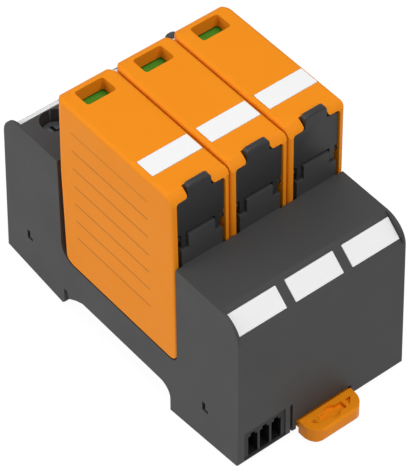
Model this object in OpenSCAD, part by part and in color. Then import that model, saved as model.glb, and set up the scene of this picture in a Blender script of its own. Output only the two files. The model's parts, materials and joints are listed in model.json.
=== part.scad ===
// Plug-in surge arrester, three poles wide, for a top-hat mounting rail.
// A moulded base hooks onto the rail and carries the terminals, and one arrester module per
// pole plugs into it from above. Millimetres. The origin is the middle of the rail seat, +X
// points to the end with the pull foot and +Z away from the rail.

/* [Rail] */
// Width of the rail over its flanges
rail_w = 35; // [34:0.5:36]
// Thickness of the rail's flange
rail_t = 1; // [0.8:0.1:1.3]
// Play between a flange's edge and the end of its slot
rail_play = 0.7; // [0.4:0.1:0.9]
// Reach of the fixed lip and of the foot's nose under the flange
grip = 1.5; // [1:0.1:2]

/* [Base] */
// From the rail's middle to the wire end
base_back = 48.9; // [48:0.1:52]
// From the rail's middle to the foot end
base_front = 47.1; // [46.5:0.1:52]
// Width at the rail
base_w = 54; // [53.8:0.1:57]
// How far each long side leans in up to the top
side_draft = 0.8; // [0:0.05:0.85]
// How far the wire end leans in up to its rounded corner
end_draft = 1.6; // [0:0.1:2]
// Height of the end blocks above the rail seat
base_top = 46.4; // [45.5:0.1:50]
// Wall thickness of the base
wall = 2; // [1.6:0.1:2.3]
// Radius of the side walls' upper corners
corner_r = 7; // [6.5:0.1:8]
// Depth of the foot end's underside below the seat, next to the rail
front_drop = 7.4; // [7:0.1:8.5]
// Depth of the rail hook's tip below the seat
hook_drop = 5.8; // [5.2:0.1:6.5]
// Rise of both undersides towards the outer ends
under_rise = 2.8; // [2:0.1:3]

/* [Modules] */
// How much further each long side of the base reaches than the outer pole
flank = 0.3; // [0:0.05:0.3]
// Gap between two modules
plug_gap = 0.4; // [0.3:0.05:0.6]
// From the rail's middle to the module's rear face
plug_back = 24; // [23:0.1:24.5]
// From the rail's middle to the module's front face
plug_front = 22.8; // [22.5:0.1:24]
// Height of the module's underside above the rail seat
plug_foot = 12.6; // [12.2:0.1:14]
// Height of the module's top above the rail seat
plug_top = 70; // [68:0.1:75]
// Wall thickness of the module's housing
plug_wall = 1.5; // [1.2:0.1:1.7]
// Clearance all round a module in its bay
bay_gap = 0.3; // [0.2:0.05:0.4]
// Radius between the module's top and its front
nose_r = 3.5; // [2:0.1:4.5]

/* [Status window] */
// Length of the window
window_l = 5.7; // [4:0.1:6]
// Width of the window
window_w = 8.8; // [6:0.1:9.4]
// Depth from the module's top down to the window's lower rim
window_deep = 3.9; // [3.5:0.1:6]

/* [Release lever] */
// Width of the thumb tongue
tongue_w = 7; // [5:0.1:8]
// Height of the tongue above the module's top
tongue_rise = 1.5; // [0.5:0.1:3]
// Thickness of the lever's plate
lever_t = 2.4; // [2.1:0.1:2.8]
// Height of the pivot above the rail seat
pivot_z = 54.3; // [53.5:0.1:56]
// Radius of the pivot pins
pivot_r = 1; // [0.7:0.1:1.1]

/* [Marker tags] */
// Length of a tag, across the device
tag_l = 15; // [12:0.1:15.4]
// Width of a tag
tag_w = 6.1; // [4:0.1:6.4]
// Thickness of a tag
tag_t = 0.9; // [0.6:0.1:1.2]

/* [Terminals] */
// Distance from the rail's middle to the terminal screws
screw_x = 36.3; // [35.5:0.1:37]
// Radius of the screw's thread
screw_r = 2.5; // [2:0.1:3]
// Radius of the screw's head
head_r = 3.7; // [3.4:0.1:3.8]
// Radius of the wire entry
entry_r = 4; // [3:0.1:4.2]
// Height of the wire entry above the rail seat
entry_z = 19.8; // [19:0.1:21]
// Length of a clamp cage along the wire
cage_l = 9; // [7:0.1:10]
// Width of the plug blades
blade_w = 7; // [5:0.1:7.4]
// Thickness of the plug blades
blade_t = 1.2; // [0.8:0.1:1.6]

/* [Foot] */
// Width of the foot's handle
foot_w = 17; // [14:0.1:18]
// How far the handle stands out
foot_out = 6.5; // [6:0.1:7.5]
// Height of the handle
foot_h = 4.5; // [3.5:0.1:4.8]
// Sideways place of the foot
foot_y = 0.8; // [0:0.1:1]

/* [Signal socket] */
// Distance between two contacts of the signal socket
signal_pitch = 3.7; // [3.5:0.05:3.8]
// Height of the socket
signal_h = 9.8; // [9:0.1:10.4]

/* [Hidden] */
$fn = 48;
POLES = [1, 2, 3];
function numbered(name) = [for (k = POLES) str(name, "_", k)];

dark_grey = [0.27, 0.27, 0.28];
black = [0.16, 0.16, 0.17];
orange = [0.93, 0.55, 0.13];
white = [0.93, 0.93, 0.94];
green = [0.22, 0.5, 0.16];
red = [0.75, 0.15, 0.1];
steel = [0.72, 0.73, 0.75];
copper = [0.8, 0.52, 0.32];
blue = [0.16, 0.25, 0.5];
board_green = [0.1, 0.35, 0.2];

far = 80;          // longer than the part, for cuts that pass right through
slip = 0.1;        // clearance of a piece that is pushed into place
run = 0.05;        // running clearance of pins, threads and blades
seat_lift = 0.2;   // slot roofs lie this much above the rail seat

// Poles and sides
pole_pitch = (base_w - 2 * flank) / 3;
plug_w = pole_pitch - plug_gap;
function pole_y(k) = (k - 2) * pole_pitch;
inner_w = base_w - 2 * side_draft - 2 * (wall - 0.6);
half_inner = inner_w / 2;
rim_in = base_w / 2 - side_draft - 0.8;

// Underside of the base, from the wire end to the foot end
hook_x = rail_w / 2 + 7.6;
recess_l = rail_w / 2 - 0.4;
recess_r = rail_w / 2 + 2.7;
roof_z = 1;
recess_fillet = 4;
back_z = -hook_drop + under_rise;
front_z = -front_drop + under_rise;
notch_w = 1.3;
notch_top = 0.2;
hook_bevel = 0.9;
front_bevel = 0.5;
hook_ramp_z = -2.2;
function under_back(x) = back_z + (x + base_back) * (-hook_drop - back_z) / (base_back - hook_x);
function under_front(x) = -front_drop + (x - recess_r) * (front_z + front_drop) / (base_front - recess_r);

// Inside of the base
bay_back = plug_back + bay_gap;
bay_front = plug_front + bay_gap;
bay_floor = plug_foot - bay_gap;
bay_r_back = 5;
bay_r_front = 3;
bridge_top = bay_floor - wall;
chamber_w = 2 * (half_inner - pole_pitch);
chamber_back = base_back - end_draft - wall;
chamber_front = bay_back + wall;
collar_out = 0.6;
collar_half = rim_in;
head_h = 3.2;
cage_travel = 4;
cage_wall = 1.5;
cage_top_t = 2.5;
cage_in_w = 2 * entry_r + 0.4;
strip_t = 1.5;
strip_z = entry_z + entry_r + 0.8;
cage_floor_z = entry_z - entry_r - 0.7;
cage_top_z = strip_z + strip_t + 2;
chamber_top = cage_top_z + cage_top_t + cage_travel + 1.5;
ledge_t = 3;
head_z = chamber_top + ledge_t + slip;
cover_top = 2.6;
metal_t = 1.2;
metal_z = cover_top + slip;

// Sloped ends with the marker tags
slope_run = corner_r;
slope_drop = corner_r - 0.6;
slope_front_x = base_front - 0.3;
slope_back_x = base_back - end_draft;
tag_sink = tag_t - 0.15;

// Modules
plug_in_w = plug_w - 2 * plug_wall;
lever_w = plug_w - 2 * plug_wall - 0.6;
groove_w = lever_w + 0.8;
groove_x = plug_front - 3.6;
groove_r = 0.9;
slot_half = tongue_w / 2 + 0.3;
top_r = 1.3;
rear_r = 3;
edge_r = 0.8;
rear_edge_r = 2.5;
tag_aside = 0.35;
shoulder_z = plug_top - 2.3;
lever_front = plug_front - 0.4;
tongue_t = 2;
tongue_r = 1.8;
tongue_x = lever_front - tongue_t;
pivot_x = lever_front - 1.4;
lever_gap = 0.6;
upstand_top = pivot_z + 1.3;
upstand_step = pivot_z - 2.9;
upstand_front = plug_front + 0.1;
upstand_t = 2.5;
upstand_low = base_top - 11;
upstand_neck = tongue_w + 1;
upstand_w = lever_w - 1.4;
cavity_front = groove_x - plug_wall;
cavity_top = plug_top - plug_wall;
window_x = -plug_back + 3.1;
line_x = -14;
common_x = 13.5;
blade_low = bridge_top - 6;
plate_t = 3;
varistor_t = 6.8;
varistor_z = plug_foot + plate_t + 1.6;
varistor_h = 33;
varistor_l = 33;
tray_z = plug_top - window_deep - 2.6;
flag_z = tray_z + 1 + slip;
flag_t = 0.9;

// Foot
foot_top = -1.2;
flange_t = 1.6;
flange_z = -3.8;
flange_over = 2.5;
keel_w = foot_w - 2 * flange_over;
guide_w = foot_w + 4;
guide_x = recess_r + wall + 1.6;
foot_travel = 4;

// Signal socket
header_w = 3 * signal_pitch + 1.9;
header_y = -half_inner + slip + header_w / 2;
header_z = -3.7;
header_l = 9.5;

// Extrusions along Y, X and Z
module side(y0, y1) { translate([0, y1, 0]) rotate([90, 0, 0]) linear_extrude(y1 - y0) children(); }
module across(x0, x1) { translate([x0, 0, 0]) rotate([90, 0, 90]) linear_extrude(x1 - x0) children(); }
module up(z0, z1) { translate([0, 0, z0]) linear_extrude(z1 - z0) children(); }
module box(x0, x1, y0, y1, z0, z1) { translate([x0, y0, z0]) cube([x1 - x0, y1 - y0, z1 - z0]); }
module rod_y(x, z, r, y0, y1) { translate([x, y1, z]) rotate([90, 0, 0]) cylinder(r = r, h = y1 - y0); }
module rod_x(y, z, r, x0, x1) { translate([x0, y, z]) rotate([0, 90, 0]) cylinder(r = r, h = x1 - x0); }
module rod_z(x, y, r, z0, z1) { translate([x, y, z0]) cylinder(r = r, h = z1 - z0); }

// What lies outside a rounded corner at (x, y); sx and sy point out of the shape.
module corner_waste(x, y, r, sx, sy) {
    difference() {
        translate([min(x - sx * r, x + sx), min(y - sy * r, y + sy)]) square(r + 1);
        translate([x - sx * r, y - sy * r]) circle(r);
    }
}
module rounded_rect(x0, x1, y0, y1, r) {
    difference() {
        translate([x0, y0]) square([x1 - x0, y1 - y0]);
        for (sx = [-1, 1], sy = [-1, 1])
            corner_waste(sx < 0 ? x0 : x1, sy < 0 ? y0 : y1, r, sx, sy);
    }
}

// Side view of the base, with the rail recess, the hook and the rounded upper corners
module base_outline() {
    notch_x = -hook_x + hook_bevel;
    difference() {
        polygon([
            [-base_back, back_z], [-hook_x, -hook_drop], [notch_x, -hook_drop + hook_bevel],
            [notch_x, notch_top], [notch_x + notch_w, notch_top],
            [-hook_x + 2.8, hook_ramp_z], [-recess_l, roof_z],
            [recess_r, roof_z], [recess_r, -front_drop],
            [base_front - front_bevel, front_z], [base_front, front_z + front_bevel],
            [slope_front_x, base_top - corner_r], [slope_front_x, base_top],
            [-slope_back_x, base_top], [-slope_back_x, base_top - corner_r]]);
        corner_waste(slope_front_x, base_top, corner_r, 1, 1);
        corner_waste(-slope_back_x, base_top, corner_r, -1, 1);
    }
    corner_waste(recess_r, roof_z, recess_fillet, 1, 1);
}
// End view of the base: the long sides lean in towards the top.
module base_section() {
    low = -front_drop - 1;
    polygon([[-base_w / 2, low], [base_w / 2, low],
        [base_w / 2 - side_draft, base_top], [-base_w / 2 + side_draft, base_top]]);
}
// Side view of the bay that the modules stand in, and of a module with its own clearance
module bay_outline(gap) {
    difference() {
        translate([-plug_back - gap, plug_foot - gap])
            square([plug_back + plug_front + 2 * gap, far]);
        corner_waste(-plug_back - gap, plug_foot - gap, bay_r_back, -1, -1);
        corner_waste(plug_front + gap, plug_foot - gap, bay_r_front, 1, -1);
    }
}
// Underside of the space for the bottom cover, and the cover's own upper side
module cover_space(gap) {
    polygon([
        [-chamber_back - gap, -far], [-chamber_back - gap, under_back(-chamber_back) + wall + gap],
        [-chamber_front, under_back(-hook_x) + wall + gap], [-recess_l - 3, cover_top + gap],
        [recess_r + wall + gap, cover_top + gap],
        [recess_r + wall + gap, under_front(recess_r + wall) + wall + gap],
        [base_front - wall + gap, under_front(base_front - wall) + wall + gap],
        [base_front - wall + gap, -far]]);
}
// Places a shape on the sloped end: +Z out of the slope, at its middle.
module on_slope(front) {
    s = front ? 1 : -1;
    edge = front ? slope_front_x : slope_back_x;
    translate([s * (edge - slope_run / 2), 0, base_top - slope_drop / 2])
        rotate([0, s * atan(slope_drop / slope_run), 0]) children();
}
module tag_block(grow, low, high) {
    box(-tag_w / 2 - grow, tag_w / 2 + grow, -tag_l / 2 - grow, tag_l / 2 + grow, low, high);
}
// Everything above the sloped ends, between the rims of the side walls
module slope_waste() {
    for (s = [-1, 1]) {
        edge = s > 0 ? slope_front_x : slope_back_x;
        low = base_top - slope_drop;
        side(-rim_in, rim_in) polygon([
            [s * (edge - slope_run), base_top], [s * (edge - slope_run), base_top + 1],
            [s * (edge + 1.5), base_top + 1], [s * (edge + 1.5), low], [s * edge, low]]);
    }
}
// Cross-shaped drive of the terminal screws
module cross_recess(x, y, z) {
    arm = head_r * 0.62;
    box(x - arm, x + arm, y - 0.5, y + 0.5, z - 1.6, z + 1);
    box(x - 0.5, x + 0.5, y - arm, y + arm, z - 1.6, z + 1);
}
// Hole in the side wall where a snap hook of the cover shows
module snap_window(x, z) {
    box(x - 0.6, x + 0.6, -far, far, z, z + 3);
    box(x - 0.6, x + 1.6, -far, far, z, z + 1);
}
snap_places = [[-screw_x - 2.6, 7], [base_front - 13.4, 4.6]];

// Plates that rise in front of each module, under its lever
module upstand(k) {
    y = pole_y(k);
    back = upstand_front - upstand_t;
    half = upstand_w / 2;
    box(back, upstand_front, y - half, y + half, upstand_low, upstand_step);
    box(back, upstand_front, y - upstand_neck / 2, y + upstand_neck / 2, upstand_low, upstand_top);
    box(back, bay_front + wall / 2, y - half, y + half, upstand_low, base_top);
}

module base_housing() {
    color(dark_grey) {
        difference() {
            union() {
                intersection() {
                    side(-far, far) base_outline();
                    across(-far, far) base_section();
                }
                across(-base_back - collar_out, -chamber_back + wall / 2)
                    rounded_rect(-collar_half, collar_half, entry_z - 6.6, entry_z + 6.6, 2);
            }
            side(-far, far) bay_outline(bay_gap);
            side(-half_inner, half_inner) cover_space(slip);
            box(-chamber_front, bay_front + wall, -half_inner, half_inner, 0, bridge_top);
            side(-half_inner, half_inner) polygon([
                [recess_r + wall + slip, -far], [base_front - wall + slip, -far],
                [base_front - wall + slip, base_top - slope_drop - wall - 0.4],
                [slope_front_x - slope_run, base_top - wall - 0.4],
                [bay_front + wall, base_top - wall - 0.4],
                [bay_front + wall, cover_top], [recess_r + wall + slip, cover_top]]);
            for (k = POLES) pole_cuts(pole_y(k));
            slope_waste();
            for (k = POLES, front = [true, false])
                translate([0, pole_y(k), 0]) on_slope(front) tag_block(slip, -tag_sink, far);
            box(base_front - wall - 1, far, header_y - header_w / 2 - slip, header_y + header_w / 2 + slip,
                header_z - slip, header_z + signal_h + slip);
            box(base_front - wall - 1, far, foot_y - foot_w / 2 - 0.5, foot_y + foot_w / 2 + 0.5,
                -far, foot_top + 0.4);
            box(base_front - 1, far, header_y + header_w / 2 + 1.6, header_y + header_w / 2 + 2.4,
                -far, header_z + signal_h);
            for (p = snap_places) snap_window(p[0], p[1]);
        }
        for (k = POLES) upstand(k);
    }
}
// Terminal chamber, screw hole, wire entry and blade slots of one pole
module pole_cuts(y) {
    box(-chamber_back, -chamber_front, y - chamber_w / 2, y + chamber_w / 2, -far, chamber_top);
    rod_z(-screw_x, y, head_r + 0.4, head_z - slip, far);
    rod_z(-screw_x, y, screw_r + 0.4, chamber_top - 1, head_z);
    rod_x(y, entry_z, entry_r, -far, -chamber_back + 1);
    for (x = [line_x, common_x])
        box(x - blade_w / 2 - 0.4, x + blade_w / 2 + 0.4, y - blade_t / 2 - 0.4, y + blade_t / 2 + 0.4,
            bridge_top - 1, bay_floor + 1);
}

// Bottom cover: closes the base, carries the rail seat, the fixed lip and the foot's guides
module base_cover() {
    seat = rail_w / 2 - grip - 0.5;
    slot_end = rail_w / 2 + rail_play;
    lip_end = rail_w / 2 - grip;
    lip_z = -rail_t - 0.15;
    half = half_inner - slip;
    color(dark_grey)
    difference() {
        union() {
            side(-half, half) difference() {
                cover_space(0);
                polygon([
                    [-far, -far], [-far, under_back(-far)], [-hook_x, -hook_drop],
                    [-slot_end - 0.8, lip_z - 2], [-lip_end, lip_z - 1.2], [-lip_end, lip_z - 0.2],
                    [-slot_end, lip_z], [-slot_end, seat_lift], [-seat, seat_lift], [-seat, 0], [seat, 0],
                    [seat, seat_lift], [recess_r, seat_lift], [recess_r, -front_drop],
                    [far, under_front(far)], [far, -far]]);
            }
            box(guide_x, base_front - wall - 0.6, foot_y - guide_w / 2, foot_y + guide_w / 2,
                under_front(guide_x) + 0.6, flange_z + flange_t + 1.2);
            for (p = snap_places, s = [-1, 1]) snap_hook(p[0], p[1], s, half);
        }
        box(guide_x - 1, far, foot_y - foot_w / 2 - slip, foot_y + foot_w / 2 + slip,
            flange_z - slip, flange_z + flange_t + slip);
        box(0.6 * recess_r, far, foot_y - keel_w / 2 - slip, foot_y + keel_w / 2 + slip,
            -far, flange_z + flange_t + slip);
        box(0.6 * recess_r, recess_r + foot_travel + 0.4, foot_y - keel_w / 2 - slip,
            foot_y + keel_w / 2 + slip, -far, lip_z + slip);
        box(base_front - wall - header_l, far, header_y - header_w / 2 - slip,
            header_y + header_w / 2 + slip, header_z - slip, far);
    }
}
// Tongue of the cover inside the side wall, with a nose that snaps into the wall's window
module snap_hook(x, z, s, half) {
    foot = x < 0 ? under_back(x) + 1 : under_front(x) + 1;
    y0 = s > 0 ? half - 1.4 : -half;
    box(x - 1.6, x + 1.6, y0, y0 + 1.4, foot, z + 0.9);
    nose = s > 0 ? half : -half - 0.6;
    box(x - 0.5, x + 0.5, nose, nose + 0.6, z + 0.1, z + 0.9);
}

// Foot that is pulled to free the device from the rail
module rail_foot() {
    nose_x = rail_w / 2 - grip;
    nose_top = -rail_t - 0.15;
    low = foot_top - foot_h;
    back = base_front + 0.3;
    end = back + foot_out;
    color(orange) {
        box(guide_x + 0.4, back + 0.5, foot_y - foot_w / 2, foot_y + foot_w / 2,
            flange_z, flange_z + flange_t);
        side(foot_y - keel_w / 2, foot_y + keel_w / 2) polygon([
            [nose_x, nose_top - 0.2], [nose_x, nose_top - 1],
            [nose_x + 3.4, low + 0.8], [back + 0.5, low + 0.8],
            [back + 0.5, flange_z + flange_t], [recess_r, flange_z + flange_t], [recess_r - 0.3, nose_top]]);
        difference() {
            intersection() {
                up(low, foot_top) foot_plan(back, end);
                side(-far, far) difference() {
                    translate([back, low]) square([foot_out, foot_h]);
                    corner_waste(end, low, 1.6, 1, -1);
                    corner_waste(end, foot_top, 1, 1, 1);
                }
            }
            foot_recesses(back);
        }
    }
}
// Handle seen from above: straight at the base, rounded at its front corners
module foot_plan(back, end) {
    r = foot_out * 0.72;
    difference() {
        translate([back, foot_y - foot_w / 2]) square([end - back, foot_w]);
        for (s = [-1, 1]) corner_waste(end, foot_y + s * foot_w / 2, r, 1, s);
    }
}
// Driver slot, widened in the middle, between two small triangular recesses
module foot_recesses(back) {
    slot_x = back + 2.9;
    up(foot_top - 1.2, foot_top + 1) {
        translate([slot_x - 1.2, foot_y - 3.8]) square([2.4, 7.6]);
        translate([slot_x, foot_y]) circle(2.1);
        for (s = [-1, 1]) polygon([
            [slot_x - 1, foot_y + s * 5], [slot_x + 1, foot_y + s * 5], [slot_x - 1, foot_y + s * 6.8]]);
    }
}

// Terminal of one pole: screw, lifting cage, and the strip from the cage to the blade's fork
module terminal_screw(k) {
    y = pole_y(k);
    color(steel) difference() {
        union() {
            rod_z(-screw_x, y, screw_r, strip_z + strip_t + slip, head_z + 1);
            rod_z(-screw_x, y, head_r, head_z, head_z + head_h);
        }
        cross_recess(-screw_x, y, head_z + head_h);
    }
}
module clamp_cage(k) {
    y = pole_y(k);
    w = cage_in_w / 2;
    color(steel) difference() {
        across(-screw_x - cage_l / 2, -screw_x + cage_l / 2) difference() {
            rounded_rect(y - w - cage_wall, y + w + cage_wall, cage_floor_z - cage_wall,
                cage_top_z + cage_top_t, 1);
            translate([y - w, cage_floor_z]) square([2 * w, cage_top_z - cage_floor_z]);
        }
        rod_z(-screw_x, y, screw_r + run, cage_top_z - 1, cage_top_z + cage_top_t + 1);
    }
}
module fork(x, y) {
    gap = blade_t / 2 + run;
    for (s = [-1, 1])
        box(x - blade_w / 2 - 0.5, x + blade_w / 2 + 0.5, y + s * gap - (s < 0 ? 0.8 : 0),
            y + s * gap + (s > 0 ? 0.8 : 0), metal_z + metal_t / 2, bridge_top - 0.5);
}
module line_contact(k) {
    y = pole_y(k);
    half = cage_in_w / 2 - 0.3;
    bend = -chamber_front - 0.5;
    strip_end = -screw_x - cage_l / 2 - 2;
    color(copper) {
        side(y - half, y + half) polygon([
            [strip_end, strip_z], [bend - strip_t, strip_z], [bend - strip_t, metal_z],
            [line_x + blade_w / 2 + 0.5, metal_z], [line_x + blade_w / 2 + 0.5, metal_z + metal_t],
            [bend, metal_z + metal_t], [bend, strip_z + strip_t], [strip_end, strip_z + strip_t]]);
        fork(line_x, y);
    }
}
module common_bar() {
    reach = pole_y(3) + 4.5;
    half = blade_w / 2 + 0.8;
    color(copper) {
        box(common_x - half, common_x + half, -reach, reach, metal_z, metal_z + metal_t);
        for (k = POLES) fork(common_x, pole_y(k));
    }
}

// Remote signal: socket in the front wall, its pins, the board, the switch and the bar
module signal_cavities(x0) {
    for (i = [-1, 0, 1]) {
        y = header_y + i * signal_pitch;
        box(x0, far, y - 1.5, y + 1.5, header_z + 0.6, header_z + 7.6);
        box(x0, far, y - 0.7, y + 0.7, header_z + 7.4, header_z + 8.6);
    }
}
module signal_header() {
    front = base_front - 0.25;
    color(black) difference() {
        box(front - header_l, front, header_y - header_w / 2, header_y + header_w / 2,
            header_z, header_z + signal_h);
        signal_cavities(front - header_l + 1.6);
    }
}
module signal_pins() {
    front = base_front - 0.25;
    color(steel) for (i = [-1, 0, 1]) {
        y = header_y + i * signal_pitch;
        box(front - header_l + 1.65, front - 2.5, y - 0.5, y + 0.5, header_z + 3.8, header_z + 4.8);
    }
}
board_z = header_z + signal_h + slip;
board_reach = 9;
module signal_board() {
    color(board_green) box(bay_front + wall + 1, base_front - wall - 0.6, header_y - header_w / 2 + 0.5,
        foot_y + board_reach, board_z, board_z + 1.6);
}
module micro_switch() {
    x = bay_front + wall + 1.4;
    color(black) {
        box(x, x + 12, -3.2, 3.2, board_z + 1.6, board_z + 8);
        box(x - 1.2, x + 0.5, -1, 1, board_z + 2.6, board_z + 4.2);
    }
}
module signal_bar() {
    x0 = common_x + blade_w / 2 + 1.3;
    reach = pole_y(3) + 4;
    button_x = bay_front + wall + 0.2;
    color(black) {
        box(x0, x0 + 2.4, -reach, reach, metal_z, bridge_top - 1);
        box(x0 + 2, button_x - 1.6, -1.4, 1.4, board_z + 1.2, bridge_top - 0.2);
        for (k = POLES) box(x0 - 0.6, x0 + 0.5, pole_y(k) - 2, pole_y(k) + 2, bridge_top - 3, bridge_top - 1);
    }
}

// Marker tags on the two slopes and on the modules
module front_tag(k) {
    color(white) translate([0, pole_y(k), 0]) on_slope(true) tag_block(0, -tag_sink, tag_t - tag_sink);
}
module rear_tag(k) {
    color(white) translate([0, pole_y(k), 0]) on_slope(false) tag_block(0, -tag_sink, tag_t - tag_sink);
}
tag_x = plug_front - 12.3;
module module_tag(k) {
    color(white) translate([tag_x, pole_y(k) + tag_aside, plug_top])
        tag_block(0, -tag_sink, tag_t - tag_sink);
}

// Side view of a module, rounded at the front and at the rear
module plug_profile() {
    difference() {
        bay_outline(0);
        translate([-far, plug_top]) square(2 * far);
        corner_waste(plug_front, plug_top, nose_r, 1, 1);
        corner_waste(-plug_back, plug_top, rear_r, -1, 1);
    }
}
module plug_plan(y) {
    difference() {
        translate([-plug_back, y - plug_w / 2]) square([plug_back + plug_front, plug_w]);
        for (s = [-1, 1], e = [-1, 1])
            corner_waste(e < 0 ? -plug_back : plug_front, y + s * plug_w / 2,
                e < 0 ? rear_edge_r : edge_r, e, s);
    }
}
// Hollow of a module, open at the bottom between the two rounded corners
module cavity_profile() {
    back = -plug_back + plug_wall;
    low = plug_foot + plug_wall;
    difference() {
        translate([back, low]) square([cavity_front - back, cavity_top - low]);
        corner_waste(back, low, bay_r_back - plug_wall, -1, -1);
    }
    translate([line_x - 5, plug_foot - 1]) square([cavity_front - line_x + 5, plug_wall + 2]);
}
module window_plan(y, grow) {
    half = window_w / 2 + grow;
    rounded_rect(window_x - grow, window_x + window_l + grow, y - half, y + half, 0.8);
}
module plug_housing(k) {
    y = pole_y(k);
    half = plug_in_w / 2;
    color(orange) difference() {
        union() {
            difference() {
                intersection() {
                    up(plug_foot - 1, plug_top + 1) plug_plan(y);
                    side(y - plug_w, y + plug_w) plug_profile();
                    across(-far, far) rounded_rect(y - plug_w / 2, y + plug_w / 2, 0, plug_top, top_r);
                }
                side(y - half, y + half) cavity_profile();
            }
            up(plug_top - window_deep, cavity_top + 0.5) window_plan(y, 0.7);
        }
        up(plug_foot, plug_top + 1) window_plan(y, 0);
        across(groove_x, far)
            rounded_rect(y - groove_w / 2, y + groove_w / 2, -far, shoulder_z, groove_r);
        across(tongue_x - 0.4, far) {
            translate([y - slot_half, shoulder_z - 1]) square([2 * slot_half, far]);
            for (s = [-1, 1]) corner_waste(y + s * slot_half, shoulder_z, groove_r, -s, -1);
        }
        translate([tag_x, y + tag_aside, plug_top]) tag_block(slip, -tag_sink, 1);
        rod_y(pivot_x, pivot_z, pivot_r + run, y - plug_w / 2 + 0.4, y + plug_w / 2 - 0.4);
    }
}
module plug_base(k) {
    y = pole_y(k);
    half = plug_in_w / 2 - slip;
    color(black) difference() {
        box(line_x - 5 + slip, cavity_front - slip, y - half, y + half, plug_foot, plug_foot + plate_t);
        for (x = [line_x, common_x])
            box(x - blade_w / 2 - run, x + blade_w / 2 + run,
                y - blade_t / 2 - run, y + blade_t / 2 + run, 0, far);
    }
}
varistor_x = -2;
module varistor(k) {
    y = pole_y(k);
    half = varistor_t / 2;
    x0 = varistor_x - varistor_l / 2;
    color(blue) side(y - half, y + half)
        rounded_rect(x0, x0 + varistor_l, varistor_z, varistor_z + varistor_h, 3);
}
// Blades that plug into the base, each with a tail beside the varistor
tail_z = plug_foot + plate_t + slip;
tail_t = 0.8;
tail_half = 2;
line_tail_h = 8;
common_tail_h = 18;
arm_t = 0.6;
arm_low = 3;
arm_h = 24;
module blade(x, y) {
    box(x - blade_w / 2, x + blade_w / 2, y - blade_t / 2, y + blade_t / 2, blade_low, tail_z + tail_t);
}
line_tail_y = varistor_t / 2 + 1.2;
module line_blade(k) {
    y = pole_y(k);
    color(copper) {
        blade(line_x, y);
        box(line_x - tail_half, line_x + tail_half, y - blade_t / 2, y + line_tail_y + tail_t,
            tail_z, tail_z + tail_t);
        box(line_x - tail_half, line_x + tail_half, y + line_tail_y, y + line_tail_y + tail_t,
            tail_z, tail_z + line_tail_h);
    }
}
module common_blade(k) {
    y = pole_y(k);
    tail = varistor_t / 2 + slip;
    color(copper) {
        blade(common_x, y);
        box(common_x - 1.5 * tail_half, common_x + tail_half / 2, y - tail - tail_t, y + blade_t / 2,
            tail_z, tail_z + tail_t);
        box(common_x - 1.5 * tail_half, common_x + tail_half / 2, y - tail - tail_t, y - tail,
            tail_z, tail_z + common_tail_h);
    }
}
// Sprung arm, soldered to the varistor, that lets go when it gets too hot
module disconnect_arm(k) {
    y = pole_y(k);
    out = y + line_tail_y - run;
    color(copper) {
        box(line_x - tail_half, line_x + tail_half, out - arm_t, out, tail_z + arm_low, tail_z + arm_h);
        box(line_x - tail_half, line_x + tail_half, y + varistor_t / 2 + run, out,
            tail_z + arm_h - 1, tail_z + arm_h + 2);
    }
}
// Red tray under the window, and the green flag that slides away over it
tray_l = 2 * window_l + 6;
flag_w = window_w + 2.6;
module fault_plate(k) {
    y = pole_y(k);
    half = plug_in_w / 2 - slip;
    x0 = -plug_back + plug_wall + slip;
    color(red) {
        box(x0, x0 + tray_l, y - half, y + half, tray_z, tray_z + 1);
        for (s = [-1, 1])
            box(x0, x0 + tray_l, s > 0 ? y + flag_w / 2 + slip : y - half,
                s > 0 ? y + half : y - flag_w / 2 - slip, tray_z, flag_z + flag_t);
    }
}
module status_flag(k) {
    y = pole_y(k);
    x0 = window_x - 0.5;
    color(green) box(x0, x0 + window_l + 1, y - flag_w / 2, y + flag_w / 2, flag_z, flag_z + flag_t);
}

// Release lever: plate with a thumb tongue, two skirts beside the upstand and pivot pins
module release_lever(k) {
    y = pole_y(k);
    half = lever_w / 2;
    back = lever_front - lever_t;
    low = upstand_top + lever_gap;
    skirt = upstand_step + lever_gap;
    inside = upstand_neck / 2 + 0.3;
    outside = half - 1;
    color(black) {
        across(back, lever_front) rounded_rect(y - half, y + half, low, shoulder_z - 0.3, groove_r);
        for (s = [-1, 1]) {
            box(lever_front - 2, lever_front, s > 0 ? y + inside : y - outside,
                s > 0 ? y + outside : y - inside, skirt, low + 1);
            rod_y(pivot_x, pivot_z, pivot_r, s > 0 ? y + inside : y - plug_w / 2 + 0.5,
                s > 0 ? y + plug_w / 2 - 0.5 : y - inside);
        }
        intersection() {
            across(tongue_x, lever_front) rounded_rect(y - tongue_w / 2, y + tongue_w / 2,
                shoulder_z - 4, plug_top + tongue_rise, tongue_r);
            side(y - tongue_w, y + tongue_w) rounded_rect(tongue_x, lever_front,
                shoulder_z - 4, plug_top + tongue_rise, tongue_t * 0.45);
        }
    }
}

base_housing();
base_cover();
rail_foot();
common_bar();
signal_header();
signal_pins();
signal_board();
micro_switch();
signal_bar();
for (k = POLES) {
    terminal_screw(k);
    clamp_cage(k);
    line_contact(k);
    front_tag(k);
    rear_tag(k);
    module_tag(k);
    plug_housing(k);
    plug_base(k);
    varistor(k);
    line_blade(k);
    common_blade(k);
    disconnect_arm(k);
    fault_plate(k);
    status_flag(k);
    release_lever(k);
}
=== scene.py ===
# %% [markdown]
# # A plug-in surge arrester for a mounting rail
# The base is dark grey moulded plastic, the three modules are orange, and each module has a black
# release lever, a status window and a white marker tag. The solids come in as a fixed frame in
# metres, so a piece that is made here from a solid already stands where it belongs.

# %% Load the frame
import json
import math

import bmesh
import bpy
from mathutils import Matrix, Vector
from mathutils.geometry import intersect_point_line

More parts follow.
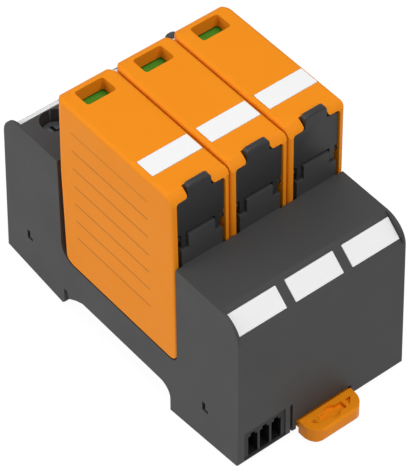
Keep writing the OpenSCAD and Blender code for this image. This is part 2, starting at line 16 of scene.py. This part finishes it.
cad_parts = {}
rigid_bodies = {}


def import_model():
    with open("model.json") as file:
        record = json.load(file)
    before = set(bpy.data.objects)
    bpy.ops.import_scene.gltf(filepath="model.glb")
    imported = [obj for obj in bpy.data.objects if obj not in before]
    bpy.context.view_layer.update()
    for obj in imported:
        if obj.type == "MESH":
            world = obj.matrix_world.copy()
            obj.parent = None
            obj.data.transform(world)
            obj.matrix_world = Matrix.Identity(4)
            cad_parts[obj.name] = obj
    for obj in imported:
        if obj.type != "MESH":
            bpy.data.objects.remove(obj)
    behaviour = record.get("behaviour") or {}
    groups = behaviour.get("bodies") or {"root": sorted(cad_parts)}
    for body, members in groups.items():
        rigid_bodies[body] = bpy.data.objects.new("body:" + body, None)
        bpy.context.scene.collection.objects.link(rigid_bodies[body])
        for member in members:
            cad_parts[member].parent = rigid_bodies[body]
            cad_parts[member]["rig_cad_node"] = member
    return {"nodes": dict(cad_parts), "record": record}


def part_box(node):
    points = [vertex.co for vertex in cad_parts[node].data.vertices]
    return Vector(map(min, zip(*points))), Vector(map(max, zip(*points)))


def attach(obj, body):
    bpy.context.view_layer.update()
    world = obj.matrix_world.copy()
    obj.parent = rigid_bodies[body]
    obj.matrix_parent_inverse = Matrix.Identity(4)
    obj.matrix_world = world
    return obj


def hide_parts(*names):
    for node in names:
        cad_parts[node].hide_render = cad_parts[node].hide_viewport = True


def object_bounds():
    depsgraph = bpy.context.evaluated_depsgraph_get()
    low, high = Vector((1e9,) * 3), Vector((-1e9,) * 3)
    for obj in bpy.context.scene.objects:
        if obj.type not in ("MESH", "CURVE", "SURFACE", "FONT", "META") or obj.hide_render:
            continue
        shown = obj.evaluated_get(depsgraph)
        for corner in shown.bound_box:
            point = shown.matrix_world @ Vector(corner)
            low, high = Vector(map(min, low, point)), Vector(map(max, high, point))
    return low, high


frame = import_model()
solid_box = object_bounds()
POLES = (1, 2, 3)
MM = 0.001
print("solids:", len(frame["nodes"]))
print("box:", [[round(c, 4) for c in corner] for corner in solid_box])

# %% [markdown]
# ## Camera
# The picture is taken from above one corner with a long lens, so that parallel edges nearly stay
# parallel. The camera could be turned by three angles, but its own three directions are easier to
# check: right, upward, and toward the camera. They follow from the azimuth, the elevation and a
# small roll. The lens follows from the focal length in pixels of an image 406 wide and 470 high,
# because Blender gives the sensor's width to the longer side.

# %% Place the camera
IMAGE_LONG_SIDE = 470
FOCAL_PX = 2835.0
SENSOR_MM = 36.0
AZIMUTH, ELEVATION, ROLL = (math.radians(a) for a in (52.123, 46.667, -1.101))
ASIDE, ABOVE, DISTANCE = -0.109 * MM, 15.183 * MM, 732.8 * MM

toward = Vector((math.sin(AZIMUTH) * math.cos(ELEVATION),
                 -math.cos(AZIMUTH) * math.cos(ELEVATION), math.sin(ELEVATION)))
level = Vector((math.cos(AZIMUTH), math.sin(AZIMUTH), 0.0))
steep = toward.cross(level)
right = level * math.cos(ROLL) + steep * math.sin(ROLL)
upward = steep * math.cos(ROLL) - level * math.sin(ROLL)
eye = right * ASIDE + upward * ABOVE + toward * DISTANCE

scene = bpy.context.scene
camera_data = bpy.data.cameras.new("camera")
camera_data.sensor_width = SENSOR_MM
camera_data.lens = FOCAL_PX * SENSOR_MM / IMAGE_LONG_SIDE
camera = bpy.data.objects.new("camera", camera_data)
turned = Matrix((right, upward, toward)).transposed().to_4x4()
camera.matrix_world = Matrix.Translation(eye) @ turned
scene.collection.objects.link(camera)
scene.camera = camera
print("camera at", [round(c, 3) for c in eye], "lens", round(camera_data.lens, 1), "mm")

# %% [markdown]
# ## Nodes in short
# The world, the floor and every finish are made of shader nodes. Written out, each node takes a
# line for itself and one for each input. Three helpers keep the later cells short: one feeds a
# node's inputs with plain values or with other nodes' outputs, one adds a node and feeds it, and
# one adds a Math node and gives back its result.


# %% Node helpers
def feed(tree, node, sources):
    """Fill inputs of a node, each with a number, a colour or another node's output."""
    for socket, source in sources.items():
        if isinstance(source, bpy.types.NodeSocket):
            tree.links.new(source, node.inputs[socket])
        else:
            node.inputs[socket].default_value = source


def add_node(tree, kind, sources=None, **settings):
    """A new node with its settings, such as data_type, and with its inputs fed."""
    node = tree.nodes.new(kind)
    for name, setting in settings.items():
        setattr(node, name, setting)
    feed(tree, node, sources or {})
    return node


def calculate(tree, operation, *sources):
    """The result of a Math node whose inputs are fed in their order."""
    node = add_node(tree, "ShaderNodeMath", dict(enumerate(sources)), operation=operation)
    return node.outputs["Value"]


# %% [markdown]
# ## Light and floor
# A product picture stands on plain white. The background could be made white by strong light, but
# that would wash out the object. Here the world is white only to the camera and to reflections,
# and a dim cool grey to everything else, so it adds no more than an even fill.

# %% World
WHITE = (1.0, 1.0, 1.0, 1.0)
FILL_TINT, FILL_STRENGTH = (0.97, 0.98, 1.0, 1.0), 0.28


def seen_directly(tree):
    """1 for rays from the camera and for reflections, 0 for all other rays."""
    path = add_node(tree, "ShaderNodeLightPath")
    return calculate(tree, "MAXIMUM", path.outputs["Is Camera Ray"], path.outputs["Is Glossy Ray"])


def mix_by_ray(tree, share, lighting, showing, output_kind):
    """Mix what lights the object with what the camera sees, and put the mix out."""
    mix = add_node(tree, "ShaderNodeMixShader", {0: share, 1: lighting, 2: showing})
    add_node(tree, output_kind, {"Surface": mix.outputs["Shader"]})


scene.view_settings.view_transform = "Standard"
world = bpy.data.worlds.new("studio")
scene.world = world
world.use_nodes = True
tree = world.node_tree
tree.nodes.clear()
fill = add_node(tree, "ShaderNodeBackground", {"Color": FILL_TINT, "Strength": FILL_STRENGTH})
white = add_node(tree, "ShaderNodeBackground", {"Color": WHITE, "Strength": 1.0})
mix_by_ray(tree, seen_directly(tree), fill.outputs["Background"], white.outputs["Background"],
           "ShaderNodeOutputWorld")
print("world:", world.name)

# %% [markdown]
# Three large square lamps stand in for softboxes. The one in front lights the long side, the one
# above the tops, and the one at the end is weaker, so that the end face is a little darker. Large
# lamps give soft shadows, and they keep the dark plastic from showing hard bright spots.

# %% Lamps
LOOK_AT = Vector((0.0, 0.0, 30 * MM))
LAMPS = {  # name: place, side, power, in metres and watts
    "key": ((-0.38, -0.75, 0.48), 0.55, 3.7),
    "top": ((0.18, 0.00, 0.92), 0.60, 3.55),
    "end": ((0.60, 0.10, 0.75), 0.60, 2.4),
}


def soft_lamp(name, place, side, power):
    """A square area lamp that looks at the middle of the object."""
    data = bpy.data.lights.new(name, "AREA")
    data.shape = "SQUARE"
    data.size = side
    data.energy = power
    lamp = bpy.data.objects.new(name, data)
    aim = LOOK_AT - Vector(place)
    turned = aim.to_track_quat("-Z", "Y").to_matrix().to_4x4()
    lamp.matrix_world = Matrix.Translation(place) @ turned
    scene.collection.objects.link(lamp)
    return lamp


for name, (place, side, power) in LAMPS.items():
    lamp = soft_lamp(name, place, side, power)
    print("lamp:", lamp.name, power, "W")

# %% [markdown]
# The floor is a large sheet of matt paper just under the part. To the camera it glows almost white,
# like the world, and the small rest that stays matt keeps the object's soft shadow.

# %% Floor
FLOOR_SIDE = 6.0
FLOOR_GAP = 0.1 * MM
PAPER_GREY = (0.88, 0.88, 0.88, 1.0)
GLOW, GLOW_SHARE = 1.06, 0.9

bpy.ops.object.select_all(action="DESELECT")
bpy.ops.mesh.primitive_plane_add(size=FLOOR_SIDE, location=(0.0, 0.0, solid_box[0][2] - FLOOR_GAP))
floor = bpy.context.object
floor.name = "floor"
paper = bpy.data.materials.new("floor_paper")
paper.use_nodes = True
tree = paper.node_tree
tree.nodes.clear()
matt = add_node(tree, "ShaderNodeBsdfDiffuse", {"Color": PAPER_GREY})
bright = add_node(tree, "ShaderNodeEmission", {"Color": WHITE, "Strength": GLOW})
mix_by_ray(tree, calculate(tree, "MULTIPLY", seen_directly(tree), GLOW_SHARE),
           matt.outputs["BSDF"], bright.outputs["Emission"], "ShaderNodeOutputMaterial")
floor.data.materials.append(paper)
print("floor at", round(floor.location.z, 4))

# %% [markdown]
# ## Finishes
# Every plastic piece of this device comes from a mould whose walls were eroded by sparks, which
# leaves a fine even grain. The grain could be painted on each piece, but noise on the piece's own
# coordinates needs no unwrapping. One node group makes it for all the plastics: a tone that drifts
# slowly over the piece, a roughness that changes a little, and the height of the grain itself.

# %% Group helpers
MIX_FACTOR, MIX_A, MIX_B, MIX_RESULT = 0, 6, 7, 2  # sockets of a Mix node that mixes colours
COLOUR, NUMBER = "NodeSocketColor", "NodeSocketFloat"


def new_group(name, inputs, outputs):
    """A new shader group, what it is given, and the node that puts its results out."""
    group = bpy.data.node_groups.new(name, "ShaderNodeTree")
    for way, sockets in (("INPUT", inputs), ("OUTPUT", outputs)):
        for label, kind in sockets.items():
            group.interface.new_socket(name=label, in_out=way, socket_type=kind)
    given = add_node(group, "NodeGroupInput")
    return group, given.outputs, add_node(group, "NodeGroupOutput")


def blend(tree, factor, first, second):
    """A colour between two colours, or between two nodes' outputs."""
    mix = add_node(tree, "ShaderNodeMix", data_type="RGBA")
    feed(tree, mix, {MIX_FACTOR: factor, MIX_A: first, MIX_B: second})
    return mix.outputs[MIX_RESULT]


def noise(tree, place, scale, detail):
    """Soft random values between 0 and 1."""
    node = add_node(tree, "ShaderNodeTexNoise", {"Vector": place, "Scale": scale, "Detail": detail})
    return node.outputs["Fac"]


# %% Grain group
DRIFT_SCALE, DRIFT_DETAIL, GRAIN_DETAIL = 70.0, 3.0, 2.0
GRAIN_SHARE, DRIFT_SHARE = 0.55, 0.45  # of the change from tint to shade

grain_group, given, result = new_group(
    "moulded_grain",
    {"Tint": COLOUR, "Shade": COLOUR, "Grain Scale": NUMBER,
     "Rough Low": NUMBER, "Rough High": NUMBER},
    {"Color": COLOUR, "Roughness": NUMBER, "Height": NUMBER})
place = add_node(grain_group, "ShaderNodeTexCoord").outputs["Object"]
drift = noise(grain_group, place, DRIFT_SCALE, DRIFT_DETAIL)
grain = noise(grain_group, place, given["Grain Scale"], GRAIN_DETAIL)
slow = calculate(grain_group, "MULTIPLY", drift, DRIFT_SHARE)
tone = calculate(grain_group, "MULTIPLY_ADD", grain, GRAIN_SHARE, slow)
rough = add_node(grain_group, "ShaderNodeMapRange",
                 {"Value": drift, "To Min": given["Rough Low"], "To Max": given["Rough High"]})
feed(grain_group, result, {"Color": blend(grain_group, tone, given["Tint"], given["Shade"]),
                           "Roughness": rough.outputs["Result"], "Height": grain})
print("group:", grain_group.name, [s.name for s in grain_group.interface.items_tree])

# %% [markdown]
# The long sides of the outer modules have a ruled panel: evenly spaced thin lines inside a
# rectangle, as pad printing makes them. They could be thin strips, but ink has no height. So a
# second group makes the lines from the place on the module alone, and the rules stay where they
# are when the module is pulled out.

# %% Rules group
RULE_PITCH = 6.2 * MM
RULE_SHARE = 0.05  # of the pitch
PANEL_X = (-17 * MM, 13 * MM)
PANEL_Z = (24.5 * MM, 62.2 * MM)
OUTER_Y = 26.4 * MM
INK_COVER = 0.6

rules_group, given, result = new_group(
    "printed_rules", {"Color": COLOUR, "Ink": COLOUR}, {"Color": COLOUR})


def rule_value(operation, *sources):
    return calculate(rules_group, operation, *sources)


def within(source, low, high):
    """1 where a value lies between two limits, 0 elsewhere."""
    return rule_value("MULTIPLY", rule_value("GREATER_THAN", source, low),
                      rule_value("LESS_THAN", source, high))


place = add_node(rules_group, "ShaderNodeTexCoord").outputs["Object"]
axes = add_node(rules_group, "ShaderNodeSeparateXYZ", {"Vector": place}).outputs
rows = rule_value("FRACT", rule_value("DIVIDE", axes["Z"], RULE_PITCH))
lines = rule_value("LESS_THAN", rows, RULE_SHARE)
panel = rule_value("MULTIPLY", within(axes["X"], *PANEL_X), within(axes["Z"], *PANEL_Z))
outer = rule_value("GREATER_THAN", rule_value("ABSOLUTE", axes["Y"]), OUTER_Y)
mask = rule_value("MULTIPLY", rule_value("MULTIPLY", lines, panel), outer)
cover = rule_value("MULTIPLY", mask, INK_COVER)
feed(rules_group, result, {"Color": blend(rules_group, cover, given["Color"], given["Ink"])})
print("group:", rules_group.name, [s.name for s in rules_group.interface.items_tree])

# %% [markdown]
# Each plastic is one Principled shader fed by the grain group. The two tones lie close together, so
# the grain is felt more than seen. Housing and modules are dull, the flag and the fault plate are
# smoother, and the lacquered pieces inside have a coarser grain.

# %% Plastic shader
PLASTIC_IOR = 1.49
GRAIN_DEPTH = 0.04 * MM
RULE_INK = "4a2a10"


def srgb(hexa):
    """A colour as Blender wants it, in linear light, from a hex code."""
    parts = [int(hexa[i:i + 2], 16) / 255 for i in (0, 2, 4)]
    return tuple(p / 12.92 if p <= 0.04045 else ((p + 0.055) / 1.055) ** 2.4 for p in parts) + (1.0,)


def new_finish(name):
    material = bpy.data.materials.new(name)
    material.use_nodes = True
    return material, material.node_tree, material.node_tree.nodes["Principled BSDF"]


def relief(tree, height, strength, depth):
    """A normal that makes heights show as bumps."""
    bump = add_node(tree, "ShaderNodeBump",
                    {"Height": height, "Strength": strength, "Distance": depth})
    return bump.outputs["Normal"]


def plastic(name, tint, shade, rough=(0.42, 0.52), gloss=0.5, grain=5200.0, bump=0.25, ruled=False):
    """A moulded plastic from the grain group; ruled adds the printed lines."""
    material, tree, shader = new_finish(name)
    surface = add_node(tree, "ShaderNodeGroup", node_tree=grain_group)
    feed(tree, surface, {"Tint": srgb(tint), "Shade": srgb(shade), "Grain Scale": grain,
                         "Rough Low": rough[0], "Rough High": rough[1]})
    colour = surface.outputs["Color"]
    if ruled:
        rules = add_node(tree, "ShaderNodeGroup", node_tree=rules_group)
        feed(tree, rules, {"Color": colour, "Ink": srgb(RULE_INK)})
        colour = rules.outputs["Color"]
    feed(tree, shader, {"Base Color": colour, "Roughness": surface.outputs["Roughness"],
                        "IOR": PLASTIC_IOR, "Specular IOR Level": gloss,
                        "Normal": relief(tree, surface.outputs["Height"], bump, GRAIN_DEPTH)})
    return material


# %% Plastics of this device
housing_grey = plastic("housing_grey", "424242", "393939", rough=(0.50, 0.62), gloss=0.25)
lever_black = plastic("lever_black", "2a2a2b", "202021", rough=(0.40, 0.50), gloss=0.3)
socket_black = plastic("socket_black", "191919", "131313", rough=(0.40, 0.50), gloss=0.2)
plug_orange = plastic("plug_orange", "f3921f", "ec8913", rough=(0.42, 0.54), gloss=0.08, ruled=True)
foot_orange = plastic("foot_orange", "f09018", "e8860c", rough=(0.36, 0.46), gloss=0.1)
tag_white = plastic("tag_white", "f3f3f2", "ededec", rough=(0.5, 0.6), gloss=0.3,
                    grain=2600.0, bump=0.1)
flag_green = plastic("flag_green", "4f9a2c", "3f8423", rough=(0.28, 0.38), bump=0.1)
fault_red = plastic("fault_red", "c2301f", "ab2417", rough=(0.3, 0.4), bump=0.1)
coat_blue = plastic("coat_blue", "2f4a8c", "263c74", rough=(0.25, 0.4), grain=900.0, bump=0.4)
board_lacquer = plastic("board_lacquer", "1f6b3c", "16502c", rough=(0.25, 0.45),
                        grain=1400.0, bump=0.2)
print("plastics on the outside:", housing_grey.name, lever_black.name, socket_black.name,
      plug_orange.name, foot_orange.name, tag_white.name, flag_green.name)
print("plastics inside:", fault_red.name, coat_blue.name, board_lacquer.name)

# %% [markdown]
# The terminal screws and cages are zinc plated, and the strips and blades are bare copper. Both get
# streaks along one direction, as rolled and drawn metal shows. Anisotropy would give a similar
# highlight, but a noise that is stretched also changes the tone, so it shows on small pieces too.

# %% Metals
STREAK_STRETCH = (300.0, 2600.0, 2600.0)
STREAK_DETAIL = 4.0
STREAK_BUMP, STREAK_DEPTH = 0.2, 0.02 * MM


def metal(name, tint, shade, rough=(0.25, 0.42)):
    material, tree, shader = new_finish(name)
    place = add_node(tree, "ShaderNodeTexCoord").outputs["Object"]
    stretch = add_node(tree, "ShaderNodeMapping", {"Vector": place, "Scale": STREAK_STRETCH})
    streaks = noise(tree, stretch.outputs["Vector"], 1.0, STREAK_DETAIL)
    polish = add_node(tree, "ShaderNodeMapRange",
                      {"Value": streaks, "To Min": rough[0], "To Max": rough[1]})
    feed(tree, shader, {"Base Color": blend(tree, streaks, srgb(tint), srgb(shade)), "Metallic": 1.0,
                        "Roughness": polish.outputs["Result"],
                        "Normal": relief(tree, streaks, STREAK_BUMP, STREAK_DEPTH)})
    return material


plated_steel = metal("plated_steel", "8f9296", "6d7075", rough=(0.32, 0.48))
bare_copper = metal("bare_copper", "d9955f", "b06f40")
print("metals:", plated_steel.name, bare_copper.name)

# %% [markdown]
# ## Finishes on the solids
# Pieces inside the base and the modules keep their solids, and so does the signal socket, whose
# narrow slots leave no room for rounding. They only need the right finish.

# %% Dress the solids that stay
kept = {
    lever_black: ["signal_bar", "micro_switch"] + [f"plug_base_{k}" for k in POLES],
    socket_black: ["signal_header"],
    plated_steel: ["signal_pins"] + [f"{name}_{k}" for k in POLES
                                     for name in ("terminal_screw", "clamp_cage")],
    bare_copper: ["common_bar"] + [f"{name}_{k}" for k in POLES for name in (
        "line_contact", "line_blade", "common_blade", "disconnect_arm")],
    board_lacquer: ["signal_board"],
    coat_blue: [f"varistor_{k}" for k in POLES],
    fault_red: [f"fault_plate_{k}" for k in POLES],
}


def dress(piece, material):
    piece.data.materials.clear()
    piece.data.materials.append(material)


for material, names in kept.items():
    for name in names:
        dress(frame["nodes"][name], material)
print("solids dressed:", {material.name: len(names) for material, names in kept.items()})

# %% [markdown]
# ## Rounded edges
# A moulding never has a knife-sharp edge: the mould's corners are slightly round, and that thin
# highlight is what makes plastic look like plastic. A bevel modifier can round the edges, but it
# holds back the width of all of them as soon as one has no room. So the edges are looked through
# first: along every face, the rounding takes a little off the next edge, and an edge that would
# take more than is there stays sharp.

# %% Find the edges with room for rounding
USABLE = 0.9  # of an edge's length
LEAST_SINE = 0.05


def corner_cuts(corner, radius, wanted):
    """What rounding takes off the two edges at a face's corner: edge, length and rounded edge."""
    before, after = corner.link_loop_prev.edge, corner.edge
    angle = corner.calc_angle() if corner.is_convex else 2 * math.pi - corner.calc_angle()
    if before in wanted and after in wanted:
        cut = radius / math.tan(angle / 2)
        return [(edge, cut, edge) for edge in (before, after)] if angle < math.pi else []
    if before in wanted or after in wanted:
        plain, rounded = (before, after) if after in wanted else (after, before)
        return [(plain, radius / max(abs(math.sin(angle)), LEAST_SINE), rounded)]
    return []


def edges_with_room(mesh, radius, sharp):
    wanted = {e for e in mesh.edges if e.is_manifold and e.calc_face_angle() > math.radians(sharp)}
    while True:
        cramped = set()
        for face in mesh.faces:
            taken = {}
            for corner in face.loops:
                for edge, cut, rounded in corner_cuts(corner, radius, wanted):
                    taken.setdefault(edge, []).append((cut, rounded))
            for edge, cuts in taken.items():
                if sum(cut for cut, _ in cuts) > USABLE * edge.calc_length():
                    cramped.update(rounded for _, rounded in cuts)
        if not cramped:
            return wanted
        wanted -= cramped


# %% [markdown]
# After the bevel, the triangles are looked through too. Where one has folded over, the edges near
# it stay sharp, and the bevel is made again from the start. That costs a few tries, at most eight,
# and needs no repair by hand; folds still left after the last try are counted in the print.

# %% Round the edges and look for folds
MOST_TRIES = 8
FOLD_REACH = 2.5  # radii
FOLD_AREA = 0.01 * MM ** 2
FOLD_TURN = 0.3  # cosine between a triangle and its face


def folded_spots(mesh):
    """Middles of the triangles that face the other way than the face they are in."""
    mesh.calc_loop_triangles()
    return [t.center.copy() for t in mesh.loop_triangles if t.area > FOLD_AREA
            and t.normal.dot(mesh.polygons[t.polygon_index].normal) < FOLD_TURN]


def far_from(edge, spots, reach):
    start, end = (v.co for v in edge.verts)
    for spot in spots:
        _, share = intersect_point_line(spot, start, end)
        if (start.lerp(end, min(max(share, 0.0), 1.0)) - spot).length < reach:
            return False
    return True


def round_edges(piece, radius, segments, sharp):
    sharp_mesh = piece.data
    solid = bmesh.new()
    solid.from_mesh(sharp_mesh)
    roomy = edges_with_room(solid, radius, sharp)
    for attempt in range(MOST_TRIES):
        piece.data = sharp_mesh.copy()
        weights = piece.data.attributes.new("bevel_weight_edge", "FLOAT", "EDGE")
        weights.data.foreach_set("value", [float(edge in roomy) for edge in solid.edges])
        bevel = piece.modifiers.new("edges", "BEVEL")
        bevel.width = radius
        bevel.segments = segments
        bevel.limit_method = "WEIGHT"
        bevel.use_clamp_overlap = True
        bpy.ops.object.modifier_apply(modifier=bevel.name)
        folds = folded_spots(piece.data)
        if not folds:
            break
        roomy = {edge for edge in roomy if far_from(edge, folds, FOLD_REACH * radius)}
    solid.free()
    print(f"{piece.name}: {len(roomy)} edges rounded, {len(folds)} folds left, try {attempt + 1}")


# %% [markdown]
# ## Moulded pieces
# Each visible solid is copied, because a solid itself is never changed. A solid comes in as loose
# triangles, so the copy's points are merged and its flat faces joined before the edges are rounded.
# Weighted normals keep the large faces flat up to the rounding. The copy rides on the solid's body
# and stands for it in the picture.

# %% Copy a solid
MERGE_DISTANCE = 0.002 * MM
FLAT_ANGLE = math.radians(0.5)


def merged_copy(node):
    """A copy of a solid, free of its body, with its triangles joined to flat faces."""
    bpy.ops.object.select_all(action="DESELECT")
    source = frame["nodes"][node]
    source.select_set(True)
    bpy.context.view_layer.objects.active = source
    bpy.ops.object.duplicate()
    piece = bpy.context.object
    piece.parent = None
    piece.matrix_world = Matrix.Identity(4)
    del piece["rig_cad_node"]
    piece.name = f"{node}_moulding"
    bpy.ops.object.mode_set(mode="EDIT")
    bpy.ops.mesh.select_all(action="SELECT")
    bpy.ops.mesh.remove_doubles(threshold=MERGE_DISTANCE)
    bpy.ops.mesh.dissolve_limited(angle_limit=FLAT_ANGLE)
    bpy.ops.object.mode_set(mode="OBJECT")
    return piece


# %% Make a moulding from the copy
SMOOTH_ANGLE = math.radians(38)
bodies = frame["record"]["behaviour"]["bodies"]
body_of_node = {node: body for body, held in bodies.items() for node in held}


def cut_to(piece, block):
    """Keep what a piece has in common with a block, and remove the block."""
    common = piece.modifiers.new("corners", "BOOLEAN")
    common.operation = "INTERSECT"
    common.solver = "EXACT"
    common.object = block
    bpy.ops.object.modifier_apply(modifier=common.name)
    bpy.data.objects.remove(block)


def moulded(node, material, radius, segments=3, sharp=40.0, block=None):
    """A rounded copy of a solid, cut to a block where one is given. It stands for the solid."""
    piece = merged_copy(node)
    if block is not None:
        cut_to(piece, block)
    round_edges(piece, radius, segments, sharp)
    even = piece.modifiers.new("normals", "WEIGHTED_NORMAL")
    even.keep_sharp = True
    bpy.ops.object.shade_smooth_by_angle(angle=SMOOTH_ANGLE)
    bpy.ops.object.modifier_apply(modifier=even.name)
    dress(piece, material)
    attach(piece, body_of_node[node])
    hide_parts(node)
    return piece


# %% Base mouldings
made = [moulded("base_housing", housing_grey, 0.20 * MM),
        moulded("base_cover", housing_grey, 0.10 * MM, segments=2),
        moulded("rail_foot", foot_orange, 0.25 * MM)]
print("base mouldings:", {piece.name: len(piece.data.polygons) for piece in made})

# %% [markdown]
# A module's two rear corners are rounder than its other edges, so that it slides into its bay
# easily. A block of the module's size gets these corners: first a wide bevel on its two upright
# rear edges, which is drawn in towards the bottom, where the bay holds the module, then a narrow
# one round its top. What block and module have in common is the finished housing. The block is a
# hair larger than the module, because faces in one plane make a Boolean uncertain.

# %% Block with round corners
UPRIGHT_RADIUS, UPRIGHT_STEPS = 4.2 * MM, 12
TOP_RADIUS, TOP_STEPS = 1.3 * MM, 6
DRAWN_IN = 0.1  # what is left of the upright radius at the bottom
HAIR, SPARE, NEAR = 0.02 * MM, 2 * MM, 0.001 * MM


def bevel_where(block, wanted, offset, segments):
    """Bevel the edges whose two ends pass a test. The block is in edit mode."""
    mesh = bmesh.from_edit_mesh(block.data)
    for edge in mesh.edges:
        edge.select_set(False)
    for edge in mesh.edges:
        if wanted(*(v.co for v in edge.verts)):
            edge.select_set(True)
    bmesh.update_edit_mesh(block.data)
    bpy.ops.mesh.bevel(offset=offset, segments=segments, affect="EDGES")


def corner_block(node):
    low, high = (Vector(c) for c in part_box(node))
    low -= Vector((HAIR, HAIR, SPARE))
    high += Vector((SPARE, HAIR, HAIR))
    bpy.ops.object.select_all(action="DESELECT")
    bpy.ops.mesh.primitive_cube_add(size=1.0, location=(low + high) / 2, scale=high - low)
    bpy.ops.object.transform_apply(location=True, rotation=True, scale=True)
    block = bpy.context.object
    bpy.ops.object.mode_set(mode="EDIT")
    bpy.ops.mesh.select_mode(type="EDGE")

    def rear_upright(a, b):
        return a.x - low.x < NEAR and b.x - low.x < NEAR and abs(a.y - b.y) < NEAR

    def top_but_front(a, b):
        at_top = high.z - a.z < NEAR and high.z - b.z < NEAR
        return at_top and (high.x - a.x > NEAR or high.x - b.x > NEAR)

    bevel_where(block, rear_upright, UPRIGHT_RADIUS, UPRIGHT_STEPS)
    middle_y = (low.y + high.y) / 2
    for v in bmesh.from_edit_mesh(block.data).verts:
        if v.co.z - low.z < NEAR and v.co.x - low.x < UPRIGHT_RADIUS - NEAR:
            corner = Vector((low.x, low.y if v.co.y < middle_y else high.y, low.z))
            v.co = corner.lerp(v.co, DRAWN_IN)
    bevel_where(block, top_but_front, TOP_RADIUS, TOP_STEPS)
    bpy.ops.object.mode_set(mode="OBJECT")
    return block


# %% Modules, levers, flags and tags
for k in POLES:
    housing = f"plug_housing_{k}"
    made += [moulded(housing, plug_orange, 0.1 * MM, block=corner_block(housing)),
             moulded(f"release_lever_{k}", lever_black, 0.25 * MM),
             moulded(f"status_flag_{k}", flag_green, 0.15 * MM, segments=2)]
    made += [moulded(f"{row}_tag_{k}", tag_white, 0.15 * MM, segments=2)
             for row in ("front", "rear", "module")]
print("mouldings:", len(made), "faces:", sum(len(piece.data.polygons) for piece in made))
